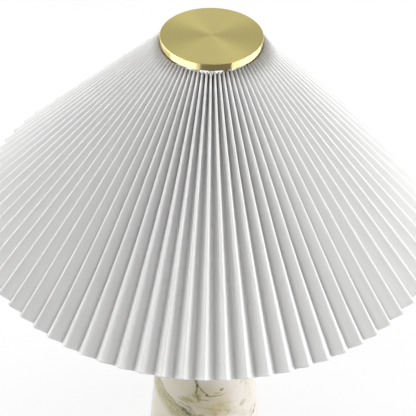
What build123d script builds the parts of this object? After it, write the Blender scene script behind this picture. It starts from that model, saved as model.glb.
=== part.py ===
"""Column table lamp: a tapered marble column, an accordion-pleated cone shade on a harp, and a turned
brass plate that screws down on the shade and holds it.

Millimetres. +Z is up, the lamp stands on z = 0 and the column's axis is the Z axis. The lamp is seen
from -Y. Each sub-part is built where it sits in the finished lamp and is written to parts/.
"""

import os
from math import atan, atan2, cos, pi, radians, sin, sqrt, tan

from build123d import *

# ----------------------------------------------------------------------------------------------
# Driving sizes
# ----------------------------------------------------------------------------------------------

# Clearances
running_clearance = 0.05  # radial, between a shaft and its hole
press_clearance = 0.02  # radial, between two pieces that are pressed together
seat_gap = 0.3  # between neighbours that lie against each other without being fixed

# Column of marble and the felt under it
felt_thickness = 2.5
felt_margin = 3.0  # from the felt's edge to the foot's edge
column_height = 342.5
column_foot_radius = 65.4
column_top_radius = 37.3
column_chamfer = 1.2
recess_radius = 32.0
recess_depth = 25.0

# Hollow threaded rod that clamps the column, and what it clamps with
rod_radius = 5.0
rod_bore_radius = 3.5
rod_play = 1.0  # radial, between the rod and the marble
rod_below_nut = 3.0
rod_below_neck = 1.0  # from the rod's upper end to the top of the lamp holder's neck
rod_chamfer = 0.5
bottom_washer_radius = 27.0
bottom_washer_thickness = 3.0
lock_washer_radius = 9.0
lock_washer_thickness = 1.2
lock_washer_teeth = 14
lock_tooth_length = 1.2
lock_tooth_width = 1.3
bottom_nut_height = 6.0
nut_across_flats = 17.0
nut_chamfer_angle = 30.0
cap_margin = 1.3  # from the column cap's edge to the marble's edge
cap_thickness = 3.0
cap_edge_height = 1.0  # of the upright edge below the cap's bevel
cap_spigot_length = 6.0
cap_nut_height = 5.0

# Cord inlet at the back of the foot
cord_bore_radius = 3.5
inlet_height = 12.0  # above the underside of the marble
bushing_wall = 2.9
bushing_length = 16.0
bushing_flange_width = 2.7
bushing_flange_thickness = 2.6
bushing_chamfer = 0.6
spot_face_depth = 2.4

# Lamp holder
socket_wall = 0.8
socket_cap_height = 16.0
socket_neck_radius = 8.0
socket_neck_height = 8.0
insulator_radius = 15.5
insulator_height = 20.0
terminal_pocket_share = 0.6  # of the insulator's height
terminal_flat = 12.5  # from the axis to the flats that carry the terminal screws
terminal_head_radius = 2.8
terminal_head_height = 2.0
terminal_shank_radius = 1.5
terminal_shank_length = 5.0
terminal_slot_width = 0.7
terminal_slot_depth = 1.0
liner_wall = 0.7
shell_wall = 0.6
shell_above_screw_shell = 2.0
screw_shell_wall = 0.4
screw_shell_height = 22.0
contact_strip_width = 5.0
contact_strip_thickness = 0.5
contact_rise = 2.0
contact_reach = 9.0  # from the axis to the strip's riveted end
contact_foot_length = 4.5  # of the strip that lies on the insulator
contact_tip_length = 3.0  # of the raised strip past the axis

# Rotary switch of the lamp holder
switch_height = 14.0  # above the insulator's underside
spindle_radius = 1.5
spindle_depth = 7.5  # how far the spindle reaches into the insulator
spindle_play = 1.0
knob_radius = 4.6
knob_length = 14.0
knob_gap = 3.0  # between the shell and the knob
knob_wall = 3.0
knob_flutes = 14
knob_flute_radius = 0.6

# Bulb
bulb_cap_radius = 13.0
bulb_cap_height = 19.0
bulb_cap_wall = 0.5
bulb_cap_turn = 3.5  # how far the cap's lower edge turns in
bulb_cap_turn_height = 1.8
bulb_neck_seat = 9.5  # how deep the glass sits in the cap
bulb_tip_height = 5.5  # from the contact button's face to the screw cap
button_radius = 4.7
button_height = 2.0
button_chamfer = 0.5
bulb_length = 104.0
bulb_radius = 30.0
bulb_glass_wall = 0.9
bulb_shoulder_angle = 35.0  # below the widest place, where the round top runs into the neck
filament_radius = 0.9
filament_length = 30.0
filament_count = 4
stem_radius = 2.0
stem_flare_height = 1.0

# Harp and the saddle that it stands in
saddle_thickness = 2.0
saddle_width = 12.0
harp_foot_spread = 52.0  # between the middles of the two feet
post_wall = 1.4
post_height = 16.0
foot_depth = 12.0
ferrule_wall = 0.9
ferrule_sleeve = 10.0
ferrule_collar = 4.0
harp_wire = 3.5
harp_height = 159.0  # from the saddle to the middle of the wire at the top
harp_width = 104.0
harp_straight_foot = 41.0  # from the saddle to where the legs turn outwards
harp_waist_height = 73.0
harp_shoulder_height = 129.0
harp_top_width = 60.0
harp_foot_bend = 20.0
harp_waist_bend = 30.0
harp_shoulder_bend = 40.0
harp_top_bend = 24.0
harp_pad_length = 24.0
harp_pad_width = 13.0
harp_pad_thickness = 2.6

# Stud that swivels in the harp's top
rivet_head_radius = 3.6
rivet_head_height = 1.5
rivet_pin_radius = 2.2
stud_shoulder_radius = 6.3
stud_shoulder_height = 2.0
stud_thread_radius = 3.1
stud_thread_length = 13.4
stud_point = 1.0  # chamfer at the stud's upper end

# Shade
shade_top_radius = 45.7  # over the ridges, at the upper end
shade_rim_radius = 229.0  # over the ridges, at the lower end
shade_drop = 177.2
pleat_count = 81
pleat_face = 13.8  # width of one face of a pleat, from fold to fold
skin_wall = 0.6
fold_flat = 0.8  # half the width of a pressed fold
seam_gap = 0.1  # between the two ends of the strip, in a valley at the back
frame_wire = 3.2
ring_inset = 4.0  # from the skin's ends to the rings, along the slope
strut_count = 6
hub_radius = 9.0
hub_thickness = 4.0
hub_chamfer = 0.5
hub_play = 0.3
arm_count = 3
weld_gap = 0.05
lacing_gap = 0.2  # between the skin and the wires that it is laced to

# Brass plate that holds the shade
washer_thickness = 1.0
washer_radius = 8.0
boss_radius = 7.0
boss_length = 10.6
plate_margin = 0.7  # from the plate's edge to the shade's ridges
plate_thickness = 6.8
plate_edge_break = 0.4

# ----------------------------------------------------------------------------------------------
# Heights, from the floor up
# ----------------------------------------------------------------------------------------------

column_base_z = felt_thickness
column_top_z = column_base_z + column_height
recess_top_z = column_base_z + recess_depth
washer_low_z = recess_top_z - bottom_washer_thickness
lock_washer_low_z = washer_low_z - lock_washer_thickness
bottom_nut_low_z = lock_washer_low_z - bottom_nut_height
rod_low_z = bottom_nut_low_z - rod_below_nut
inlet_z = column_base_z + inlet_height

cap_top_z = column_top_z + cap_thickness
saddle_low_z = cap_top_z + cap_nut_height
saddle_top_z = saddle_low_z + saddle_thickness
socket_neck_top_z = saddle_top_z + socket_neck_height
rod_top_z = socket_neck_top_z - rod_below_neck
insulator_top_z = socket_neck_top_z + insulator_height
switch_z = socket_neck_top_z + switch_height
screw_shell_top_z = insulator_top_z + screw_shell_height

contact_z = insulator_top_z + contact_rise
button_z = contact_z + contact_strip_thickness + running_clearance
bulb_cap_z = button_z + bulb_tip_height
bulb_glass_z = bulb_cap_z + bulb_cap_height
bulb_top_z = button_z + bulb_length
bulb_middle_z = bulb_top_z - bulb_radius

post_top_z = saddle_top_z + post_height
harp_foot_z = post_top_z - foot_depth
harp_top_z = saddle_top_z + harp_height
harp_pad_top_z = harp_top_z + harp_pad_thickness / 2
stud_shoulder_z = harp_pad_top_z + seat_gap
hub_low_z = stud_shoulder_z + stud_shoulder_height
hub_top_z = hub_low_z + hub_thickness
stud_top_z = hub_low_z + stud_thread_length
boss_low_z = hub_top_z + washer_thickness
plate_low_z = boss_low_z + boss_length
plate_top_z = plate_low_z + plate_thickness

shade_top_z = plate_low_z - seat_gap
shade_rim_z = shade_top_z - shade_drop

# ----------------------------------------------------------------------------------------------
# Radii that follow from their neighbours
# ----------------------------------------------------------------------------------------------

rod_hole_radius = rod_radius + running_clearance
bushing_radius = cord_bore_radius + bushing_wall
bushing_flange_radius = bushing_radius + bushing_flange_width
screw_shell_inner_radius = bulb_cap_radius + running_clearance
liner_inner_radius = insulator_radius + running_clearance
shell_inner_radius = liner_inner_radius + liner_wall + running_clearance
shell_radius = shell_inner_radius + shell_wall
socket_inner_radius = shell_radius + running_clearance
socket_radius = socket_inner_radius + socket_wall
post_bore_radius = harp_wire / 2 + running_clearance
post_radius = post_bore_radius + post_wall
ferrule_inner_radius = post_radius + running_clearance
ferrule_radius = ferrule_inner_radius + ferrule_wall
foot_x = harp_foot_spread / 2
plate_radius = shade_top_radius - plate_margin


def column_radius(height):
    """Radius of the marble at a height above the floor."""
    share = (height - column_base_z) / column_height
    return column_foot_radius + share * (column_top_radius - column_foot_radius)


# ----------------------------------------------------------------------------------------------
# Foot and column
# ----------------------------------------------------------------------------------------------

os.makedirs("parts", exist_ok=True)
upwards = (Align.CENTER, Align.CENTER, Align.MIN)


def save(piece, name):
    """Label a finished piece and write it."""
    piece.part.label = name
    export_step(piece.part, f"parts/{name}.step")


with BuildPart() as felt_pad:
    Cylinder(column_foot_radius - felt_margin, felt_thickness, align=upwards)
save(felt_pad, "felt_pad")

# One turned block: a straight taper, bored for the rod, with a recess for the nut under it and a
# cross hole for the cord that ends in a spot face at the back.
spot_face_y = column_radius(inlet_z) - spot_face_depth
with BuildPart() as marble_column:
    with BuildSketch(Plane.XZ):
        with BuildLine():
            Polyline(
                (rod_radius + rod_play, recess_top_z),
                (recess_radius, recess_top_z),
                (recess_radius, column_base_z),
                (column_foot_radius, column_base_z),
                (column_top_radius, column_top_z),
                (rod_radius + rod_play, column_top_z),
                close=True,
            )
        make_face()
    revolve(axis=Axis.Z)
    foot_edge = edges().filter_by(GeomType.CIRCLE).sort_by(SortBy.RADIUS)[-1]
    top_edge = edges().filter_by(GeomType.CIRCLE).group_by(Axis.Z)[-1].sort_by(SortBy.RADIUS)[-1]
    chamfer([foot_edge, top_edge], column_chamfer)
    with BuildSketch(Plane.XZ):
        with Locations((0, inlet_z)):
            Circle(bushing_radius + running_clearance)
    extrude(amount=-column_foot_radius, mode=Mode.SUBTRACT)
    with BuildSketch(Plane.XZ.offset(-spot_face_y)):
        with Locations((0, inlet_z)):
            Circle(bushing_flange_radius + seat_gap)
    extrude(amount=-column_foot_radius, mode=Mode.SUBTRACT)
save(marble_column, "marble_column")

# ----------------------------------------------------------------------------------------------
# Clamping rod, nuts and washers
# ----------------------------------------------------------------------------------------------

with BuildPart(Plane.XY.offset(rod_low_z)) as threaded_rod:
    Cylinder(rod_radius, rod_top_z - rod_low_z, align=upwards)
    Cylinder(rod_bore_radius, rod_top_z - rod_low_z, align=upwards, mode=Mode.SUBTRACT)
    chamfer(edges().filter_by(GeomType.CIRCLE), rod_chamfer)
save(threaded_rod, "threaded_rod")

with BuildPart(Plane.XY.offset(washer_low_z)) as bottom_washer:
    Cylinder(bottom_washer_radius, bottom_washer_thickness, align=upwards)
    Cylinder(rod_hole_radius, bottom_washer_thickness, align=upwards, mode=Mode.SUBTRACT)
save(bottom_washer, "bottom_washer")

with BuildPart() as lock_washer:
    with BuildSketch(Plane.XY.offset(lock_washer_low_z)):
        Circle(lock_washer_radius)
        with PolarLocations(lock_washer_radius, lock_washer_teeth):
            Rectangle(2 * lock_tooth_length, lock_tooth_width)
        Circle(rod_hole_radius, mode=Mode.SUBTRACT)
    extrude(amount=lock_washer_thickness)
save(lock_washer, "lock_washer")


def hex_nut(low_z, height):
    """A hex nut on the rod, with its corners turned off on top."""
    flat = nut_across_flats / 2
    with BuildPart() as nut:
        with BuildSketch(Plane.XY.offset(low_z)):
            RegularPolygon(flat, 6, major_radius=False)
            Circle(rod_hole_radius, mode=Mode.SUBTRACT)
        extrude(amount=height)
        with BuildSketch(Plane.XZ):
            with BuildLine():
                Polyline(
                    (flat, low_z + height),
                    (2 * flat, low_z + height),
                    (2 * flat, low_z + height - flat * tan(radians(nut_chamfer_angle))),
                    close=True,
                )
            make_face()
        revolve(axis=Axis.Z, mode=Mode.SUBTRACT)
    return nut


save(hex_nut(bottom_nut_low_z, bottom_nut_height), "bottom_nut")
save(hex_nut(cap_top_z, cap_nut_height), "cap_nut")

# A turned cover on the marble, with a spigot that centres it on the bore.
cap_radius = column_top_radius - cap_margin
with BuildPart() as column_cap:
    with BuildSketch(Plane.XZ):
        with BuildLine():
            Polyline(
                (rod_hole_radius, column_top_z - cap_spigot_length),
                (rod_radius + rod_play - running_clearance, column_top_z - cap_spigot_length),
                (rod_radius + rod_play - running_clearance, column_top_z),
                (cap_radius, column_top_z),
                (cap_radius, column_top_z + cap_edge_height),
                (cap_radius - cap_thickness + cap_edge_height, cap_top_z),
                (rod_hole_radius, cap_top_z),
                close=True,
            )
        make_face()
    revolve(axis=Axis.Z)
save(column_cap, "column_cap")

# ----------------------------------------------------------------------------------------------
# Cord inlet
# ----------------------------------------------------------------------------------------------

with BuildPart() as cord_bushing:
    with BuildSketch(Plane.XZ.offset(-spot_face_y - bushing_flange_thickness)):
        with Locations((0, inlet_z)):
            Circle(bushing_flange_radius)
    extrude(amount=bushing_flange_thickness)
    chamfer(faces().sort_by(Axis.Y)[-1].edges(), bushing_chamfer)
    with BuildSketch(Plane.XZ.offset(-spot_face_y)):
        with Locations((0, inlet_z)):
            Circle(bushing_radius)
    extrude(amount=bushing_length)
    with BuildSketch(Plane.XZ.offset(-spot_face_y - bushing_flange_thickness)):
        with Locations((0, inlet_z)):
            Circle(cord_bore_radius)
    extrude(amount=bushing_length + bushing_flange_thickness, mode=Mode.SUBTRACT)
save(cord_bushing, "cord_bushing")

# ----------------------------------------------------------------------------------------------
# Harp saddle
# ----------------------------------------------------------------------------------------------

with BuildPart(Plane.XY.offset(saddle_low_z)) as harp_saddle:
    with BuildSketch(Plane.XY.offset(saddle_low_z)):
        SlotCenterToCenter(harp_foot_spread, saddle_width)
        Circle(rod_hole_radius, mode=Mode.SUBTRACT)
    extrude(amount=saddle_thickness)
    with Locations((foot_x, 0), (-foot_x, 0)):
        Cylinder(post_radius, saddle_thickness + post_height, align=upwards)
    with Locations((foot_x, 0, harp_foot_z - saddle_low_z), (-foot_x, 0, harp_foot_z - saddle_low_z)):
        Cylinder(post_bore_radius, foot_depth, align=upwards, mode=Mode.SUBTRACT)
save(harp_saddle, "harp_saddle")

# ----------------------------------------------------------------------------------------------
# Lamp holder
# ----------------------------------------------------------------------------------------------

# Spun cup with a threaded neck inside.
socket_rim_z = saddle_top_z + socket_cap_height
socket_floor_radius = (socket_neck_radius + socket_radius) / 2
socket_bend = socket_radius - socket_floor_radius
with BuildPart() as socket_cap:
    with BuildSketch(Plane.XZ):
        with BuildLine():
            outer_floor = Line((rod_hole_radius, saddle_top_z), (socket_floor_radius, saddle_top_z))
            outer_bend = JernArc(outer_floor @ 1, (1, 0), socket_bend, 90)
            outer_side = Line(outer_bend @ 1, (socket_radius, socket_rim_z))
            rim = Line(outer_side @ 1, (socket_inner_radius, socket_rim_z))
            inner_side = Line(rim @ 1, (socket_inner_radius, saddle_top_z + socket_bend))
            inner_bend = JernArc(inner_side @ 1, (0, -1), socket_bend - socket_wall, -90)
            Polyline(
                inner_bend @ 1,
                (socket_neck_radius, saddle_top_z + socket_wall),
                (socket_neck_radius, socket_neck_top_z),
                (rod_hole_radius, socket_neck_top_z),
                outer_floor @ 0,
            )
        make_face()
    revolve(axis=Axis.Z)
save(socket_cap, "socket_cap")

shell_low_z = saddle_top_z + socket_bend
shell_top_z = screw_shell_top_z + shell_above_screw_shell


def tube(low_z, top_z, inner_radius, outer_radius, hole_radius):
    """A tube round the axis, with a hole for the switch spindle at the front."""
    with BuildPart(Plane.XY.offset(low_z)) as piece:
        Cylinder(outer_radius, top_z - low_z, align=upwards)
        Cylinder(inner_radius, top_z - low_z, align=upwards, mode=Mode.SUBTRACT)
        with BuildSketch(Plane.XZ):
            with Locations((0, switch_z)):
                Circle(hole_radius)
        extrude(amount=2 * outer_radius, mode=Mode.SUBTRACT)
    return piece


spindle_hole = spindle_radius + spindle_play
save(tube(shell_low_z, shell_top_z, shell_inner_radius, shell_radius, spindle_hole), "socket_shell")
save(
    tube(
        shell_low_z, shell_top_z - shell_wall, liner_inner_radius, liner_inner_radius + liner_wall, spindle_hole
    ),
    "socket_liner",
)

# Moulded insulator: a wire way from below, pockets for the terminals and a hole for the spindle.
pocket_depth = insulator_radius - terminal_flat
pocket_height = terminal_pocket_share * insulator_height
terminal_z = socket_neck_top_z + pocket_height / 2
with BuildPart(Plane.XY.offset(socket_neck_top_z)) as socket_insulator:
    Cylinder(insulator_radius, insulator_height, align=upwards)
    Cylinder(rod_bore_radius, pocket_height / 2, align=upwards, mode=Mode.SUBTRACT)
    for side in (1, -1):
        with Locations((side * (terminal_flat + pocket_depth), 0)):
            Box(2 * pocket_depth, insulator_radius, pocket_height, align=upwards, mode=Mode.SUBTRACT)
        with BuildSketch(Plane.YZ.offset(side * terminal_flat)):
            with Locations((0, terminal_z)):
                Circle(terminal_shank_radius + press_clearance)
        extrude(amount=-side * terminal_shank_length, mode=Mode.SUBTRACT)
    with BuildSketch(Plane.XZ.offset(insulator_radius)):
        with Locations((0, switch_z)):
            Circle(spindle_radius + running_clearance)
    extrude(amount=-spindle_depth, mode=Mode.SUBTRACT)
save(socket_insulator, "socket_insulator")

# Two slotted screws that take the wires.
with BuildPart() as terminal_screws:
    for side in (1, -1):
        with BuildSketch(Plane.YZ.offset(side * terminal_flat)):
            with Locations((0, terminal_z)):
                Circle(terminal_head_radius)
        extrude(amount=side * terminal_head_height)
        with BuildSketch(Plane.YZ.offset(side * terminal_flat)):
            with Locations((0, terminal_z)):
                Circle(terminal_shank_radius)
        extrude(amount=-side * terminal_shank_length)
        with BuildSketch(Plane.YZ.offset(side * (terminal_flat + terminal_head_height))):
            with Locations((0, terminal_z)):
                Rectangle(2 * terminal_head_radius, terminal_slot_width)
        extrude(amount=-side * terminal_slot_depth, mode=Mode.SUBTRACT)
save(terminal_screws, "terminal_screws")

with BuildPart(Plane.XY.offset(insulator_top_z)) as screw_shell:
    Cylinder(screw_shell_inner_radius + screw_shell_wall, screw_shell_height, align=upwards)
    Cylinder(screw_shell_inner_radius, screw_shell_height, align=upwards, mode=Mode.SUBTRACT)
save(screw_shell, "screw_shell")

# Spring strip that is riveted to the insulator and rises to the bulb's button.
half_strip = contact_strip_thickness / 2
with BuildPart() as centre_contact:
    with BuildSketch(Plane.XZ):
        with BuildLine():
            Polyline(
                (-contact_reach, insulator_top_z),
                (contact_foot_length - contact_reach, insulator_top_z),
                (0, contact_z),
                (contact_tip_length, contact_z),
                (contact_tip_length, contact_z + contact_strip_thickness),
                (-half_strip, contact_z + contact_strip_thickness),
                (contact_foot_length - contact_reach - half_strip, insulator_top_z + contact_strip_thickness),
                (-contact_reach, insulator_top_z + contact_strip_thickness),
                close=True,
            )
        make_face()
    extrude(amount=contact_strip_width / 2, both=True)
save(centre_contact, "centre_contact")

# ----------------------------------------------------------------------------------------------
# Rotary switch
# ----------------------------------------------------------------------------------------------

spindle_start = insulator_radius - spindle_depth + running_clearance
knob_start = shell_radius + knob_gap
with BuildPart() as switch_spindle:
    with BuildSketch(Plane.XZ.offset(spindle_start)):
        with Locations((0, switch_z)):
            Circle(spindle_radius)
    extrude(amount=knob_start + knob_length - knob_wall - spindle_start)
save(switch_spindle, "switch_spindle")

with BuildPart() as switch_knob:
    with BuildSketch(Plane.XZ.offset(knob_start)):
        with Locations((0, switch_z)):
            Circle(knob_radius)
            with PolarLocations(knob_radius, knob_flutes):
                Circle(knob_flute_radius, mode=Mode.SUBTRACT)
    extrude(amount=knob_length)
    with BuildSketch(Plane.XZ.offset(knob_start)):
        with Locations((0, switch_z)):
            Circle(spindle_radius + press_clearance)
    extrude(amount=knob_length - knob_wall, mode=Mode.SUBTRACT)
save(switch_knob, "switch_knob")

# ----------------------------------------------------------------------------------------------
# Bulb
# ----------------------------------------------------------------------------------------------

with BuildPart(Plane.XY.offset(button_z)) as bulb_button:
    Cylinder(button_radius, button_height, align=upwards)
    chamfer(edges().group_by(Axis.Z)[0], button_chamfer)
save(bulb_button, "bulb_button")

# The cap's lower edge turns in to the insulator that carries the button.
bulb_cap_lip = bulb_cap_radius - bulb_cap_turn
with BuildPart() as bulb_insulator:
    with BuildSketch(Plane.XZ):
        with BuildLine():
            Polyline(
                (0, button_z + button_height),
                (button_radius + press_clearance, button_z + button_height),
                (button_radius + press_clearance, button_z + button_height / 2),
                (bulb_cap_lip - press_clearance, bulb_cap_z),
                (bulb_cap_lip - press_clearance, bulb_cap_z + bulb_cap_wall),
                (0, bulb_cap_z + bulb_cap_wall),
                close=True,
            )
        make_face()
    revolve(axis=Axis.Z)
save(bulb_insulator, "bulb_insulator")

with BuildPart() as bulb_cap:
    with BuildSketch(Plane.XZ):
        with BuildLine():
            Polyline(
                (bulb_cap_lip, bulb_cap_z),
                (bulb_cap_radius, bulb_cap_z + bulb_cap_turn_height),
                (bulb_cap_radius, bulb_glass_z),
                (bulb_cap_radius - bulb_cap_wall, bulb_glass_z),
                (bulb_cap_radius - bulb_cap_wall, bulb_cap_z + bulb_cap_turn_height + bulb_cap_wall / 2),
                (bulb_cap_lip, bulb_cap_z + bulb_cap_wall),
                close=True,
            )
        make_face()
    revolve(axis=Axis.Z)
save(bulb_cap, "bulb_cap")

# Blown envelope: a straight neck cemented in the cap, a swept shoulder and a round top.
neck_radius = bulb_cap_radius - bulb_cap_wall - press_clearance
neck_low_z = bulb_glass_z - bulb_neck_seat
shoulder = radians(bulb_shoulder_angle)


def envelope(inset):
    """A solid of the envelope's outside, or of its inside when it is inset by the glass."""
    radius = bulb_radius - inset
    shoulder_point = (radius * cos(shoulder), bulb_middle_z - radius * sin(shoulder))
    crown_point = (radius * cos(shoulder), bulb_middle_z + radius * sin(shoulder))
    with BuildPart() as solid:
        with BuildSketch(Plane.XZ):
            with BuildLine():
                neck = Line((neck_radius - inset, neck_low_z), (neck_radius - inset, bulb_glass_z))
                Spline(neck @ 1, shoulder_point, tangents=[(0, 1), (sin(shoulder), cos(shoulder))])
                top = ThreePointArc(shoulder_point, crown_point, (0, bulb_middle_z + radius))
                Polyline(top @ 1, (0, neck_low_z), neck @ 0)
            make_face()
        revolve(axis=Axis.Z)
    return solid.part


glass_outside = envelope(0)
glass_inside = envelope(bulb_glass_wall)
with BuildPart() as bulb_glass:
    add(glass_outside)
    add(glass_inside, mode=Mode.SUBTRACT)
save(bulb_glass, "bulb_glass")

# Glass stem that closes the neck, with the light-emitting rods round it.
with BuildPart(Plane.XY.offset(neck_low_z)) as bulb_stem:
    Cylinder(neck_radius - bulb_glass_wall - press_clearance, stem_flare_height, align=upwards)
    Cylinder(stem_radius, bulb_middle_z - neck_low_z, align=upwards)
save(bulb_stem, "bulb_stem")

with BuildPart(Plane.XY.offset(bulb_middle_z - filament_length)) as bulb_filament:
    with PolarLocations(stem_radius + filament_radius + press_clearance, filament_count):
        Cylinder(filament_radius, filament_length, align=upwards)
save(bulb_filament, "bulb_filament")

# ----------------------------------------------------------------------------------------------
# Harp
# ----------------------------------------------------------------------------------------------

# One wire, bent to a loop whose top is flattened to a pad for the stud. One leg is drawn from its
# foot to the pad, and the other is its mirror image.
wire_end_x = (stud_shoulder_radius + harp_pad_length / 2) / 2
with BuildPart() as harp:
    with BuildLine() as leg_path:
        FilletPolyline(
            (foot_x, 0, harp_foot_z),
            (foot_x, 0, saddle_top_z + harp_straight_foot),
            (harp_width / 2, 0, saddle_top_z + harp_waist_height),
            (harp_width / 2, 0, saddle_top_z + harp_shoulder_height),
            (harp_top_width / 2, 0, harp_top_z),
            (wire_end_x, 0, harp_top_z),
            radius=[harp_foot_bend, harp_waist_bend, harp_shoulder_bend, harp_top_bend],
        )
    with BuildSketch(Plane(leg_path.line @ 0, z_dir=leg_path.line % 0)):
        Circle(harp_wire / 2)
    sweep(path=leg_path.line)
    mirror(about=Plane.YZ)
    with BuildSketch(Plane.XY.offset(harp_pad_top_z)):
        SlotOverall(harp_pad_length, harp_pad_width)
    extrude(amount=-harp_pad_thickness)
    with BuildSketch(Plane.XY.offset(harp_top_z)):
        Circle(rivet_pin_radius + running_clearance)
    extrude(amount=harp_pad_thickness, both=True, mode=Mode.SUBTRACT)
save(harp, "harp")


def ferrule(side):
    """A sleeve that covers the joint of a foot and its post, stopped by its collar on the post."""
    with BuildPart() as sleeve:
        with Locations((side * foot_x, 0, post_top_z - ferrule_sleeve)):
            Cylinder(ferrule_radius, ferrule_sleeve + ferrule_collar, align=upwards)
            Cylinder(ferrule_inner_radius, ferrule_sleeve, align=upwards, mode=Mode.SUBTRACT)
            Cylinder(post_bore_radius, ferrule_sleeve + ferrule_collar, align=upwards, mode=Mode.SUBTRACT)
    return sleeve


save(ferrule(-1), "ferrule_left")
save(ferrule(1), "ferrule_right")

# The stud is riveted in the pad with a little play, so that it turns there.
rivet_top_z = harp_pad_top_z - harp_pad_thickness - seat_gap
with BuildPart() as harp_stud:
    with BuildSketch(Plane.XZ):
        with BuildLine():
            Polyline(
                (0, rivet_top_z - rivet_head_height),
                (rivet_head_radius, rivet_top_z - rivet_head_height),
                (rivet_head_radius, rivet_top_z),
                (rivet_pin_radius, rivet_top_z),
                (rivet_pin_radius, stud_shoulder_z),
                (stud_shoulder_radius, stud_shoulder_z),
                (stud_shoulder_radius, hub_low_z),
                (stud_thread_radius, hub_low_z),
                (stud_thread_radius, stud_top_z - stud_point),
                (stud_thread_radius - stud_point, stud_top_z),
                (0, stud_top_z),
                close=True,
            )
        make_face()
    revolve(axis=Axis.Z)
save(harp_stud, "harp_stud")

# ----------------------------------------------------------------------------------------------
# Shade: the cone that the pleats follow
# ----------------------------------------------------------------------------------------------

slope = atan2(shade_drop, shade_rim_radius - shade_top_radius)
half_pitch = pi / pleat_count
shade_radii = (shade_top_radius, shade_rim_radius)


def set_in(radius, height, depth):
    """(radius, height) of the point that lies a depth inside a point of the cone, square to the cone."""
    return radius - depth * sin(slope), height - depth * cos(slope)


def pleat_depth(radius):
    """Depth of the pleats where the ridges stand on a radius: a face keeps its width all the way."""
    return sqrt(pleat_face**2 - (radius * half_pitch) ** 2)


# ----------------------------------------------------------------------------------------------
# Shade: wire frame
# ----------------------------------------------------------------------------------------------

wire_radius = frame_wire / 2
frame_depth = skin_wall + lacing_gap + wire_radius
frame_top = Vector(*set_in(shade_top_radius, shade_top_z, pleat_depth(shade_top_radius) + frame_depth))
frame_rim = Vector(*set_in(shade_rim_radius, shade_rim_z, pleat_depth(shade_rim_radius) + frame_depth))
down_slope = (frame_rim - frame_top).normalized()
top_ring_at = frame_top + down_slope * ring_inset
bottom_ring_at = frame_rim - down_slope * ring_inset
ring_centres = [(at.X, at.Y) for at in (top_ring_at, bottom_ring_at)]

with BuildPart(Plane.XY.offset(top_ring_at.Y)) as top_ring:
    Torus(top_ring_at.X, wire_radius)
save(top_ring, "top_ring")

with BuildPart(Plane.XY.offset(bottom_ring_at.Y)) as bottom_ring:
    Torus(bottom_ring_at.X, wire_radius)
save(bottom_ring, "bottom_ring")

hub_middle_z = hub_low_z + hub_thickness / 2
with BuildPart(Plane.XY.offset(hub_low_z)) as spider_hub:
    Cylinder(hub_radius, hub_thickness, align=upwards)
    Cylinder(stud_thread_radius + hub_play, hub_thickness, align=upwards, mode=Mode.SUBTRACT)
    chamfer(edges().filter_by(GeomType.CIRCLE).sort_by(SortBy.RADIUS)[-2:], hub_chamfer)
save(spider_hub, "spider_hub")


def wires(count, start, end):
    """Straight wires from start to end, (radius, height), set evenly round the axis."""
    with BuildPart() as rods:
        for number in range(count):
            upright = Plane.XZ.rotated((0, 0, 360 / count * (number + 0.5)))
            with BuildLine(upright) as middle:
                Line(start, end)
            with BuildSketch(Plane(middle.line @ 0, z_dir=middle.line % 0)):
                Circle(wire_radius)
            extrude(amount=(middle.line @ 1 - middle.line @ 0).length)
        for radius, height in ring_centres:
            with Locations((0, 0, height)):
                Torus(radius, wire_radius + weld_gap, mode=Mode.SUBTRACT)
    return rods


struts = wires(strut_count, *ring_centres)
save(struts, "shade_struts")

spider_wires = wires(arm_count, (hub_radius / 2, hub_middle_z), ring_centres[0])
with BuildPart() as spider_arms:
    add(spider_wires.part)
    with Locations((0, 0, hub_middle_z)):
        Cylinder(hub_radius + weld_gap, 2 * hub_thickness, mode=Mode.SUBTRACT)
save(spider_arms, "spider_arms")

# ----------------------------------------------------------------------------------------------
# Shade: pleated skin
# ----------------------------------------------------------------------------------------------

# One strip of stiff cloth, pressed into accordion pleats whose faces keep their width from the top
# to the rim, so that the folds stand deep and close at the top and open towards the rim. Each fold
# is a narrow flat. A fold line is straight in space: it is given by its place at the top and at the
# rim, as (side, across, depth). Side is -1 or 1 for the valley before or after the ridge and 0 for
# the ridge; across is the distance from that valley's or ridge's middle, and depth is inside the cone.


def pleat_lines(radius):
    """The outside and the inside of one pleat where its ridge stands on a radius."""
    depth = pleat_depth(radius)
    lean = atan(radius * half_pitch / depth)
    inner_flat = fold_flat - skin_wall * tan(pi / 4 - lean / 2)
    outside = [(-1, inner_flat, depth), (0, -fold_flat, 0), (0, fold_flat, 0), (1, -inner_flat, depth)]
    inside = [
        (1, -fold_flat, depth + skin_wall),
        (0, inner_flat, skin_wall),
        (0, -inner_flat, skin_wall),
        (-1, fold_flat, depth + skin_wall),
    ]
    return outside, inside


def crossing(height, pleat, line_top, line_rim):
    """Where a fold line of one pleat crosses a height, in plan. Pleats count on from the seam."""
    side, across_top, depth_top = line_top
    _, across_rim, depth_rim = line_rim
    top_radius, top_height = set_in(shade_top_radius, shade_top_z, depth_top)
    rim_radius, rim_height = set_in(shade_rim_radius, shade_rim_z, depth_rim)
    share = (height - top_height) / (rim_height - top_height)
    radius = top_radius + share * (rim_radius - top_radius)
    across = across_top + share * (across_rim - across_top)
    turn = pi / 2 + half_pitch * (2 * pleat + 1 + side)
    return radius * cos(turn) - across * sin(turn), radius * sin(turn) + across * cos(turn)


def strip_end(height, side):
    """The outside and the inside corner of one end of the strip, in plan."""
    pleat = 0 if side < 0 else pleat_count - 1
    corners = []
    for deeper in (0, skin_wall):
        ends = [(side, -side * seam_gap / 2, pleat_depth(radius) + deeper) for radius in shade_radii]
        corners.append(crossing(height, pleat, *ends))
    return corners


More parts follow.
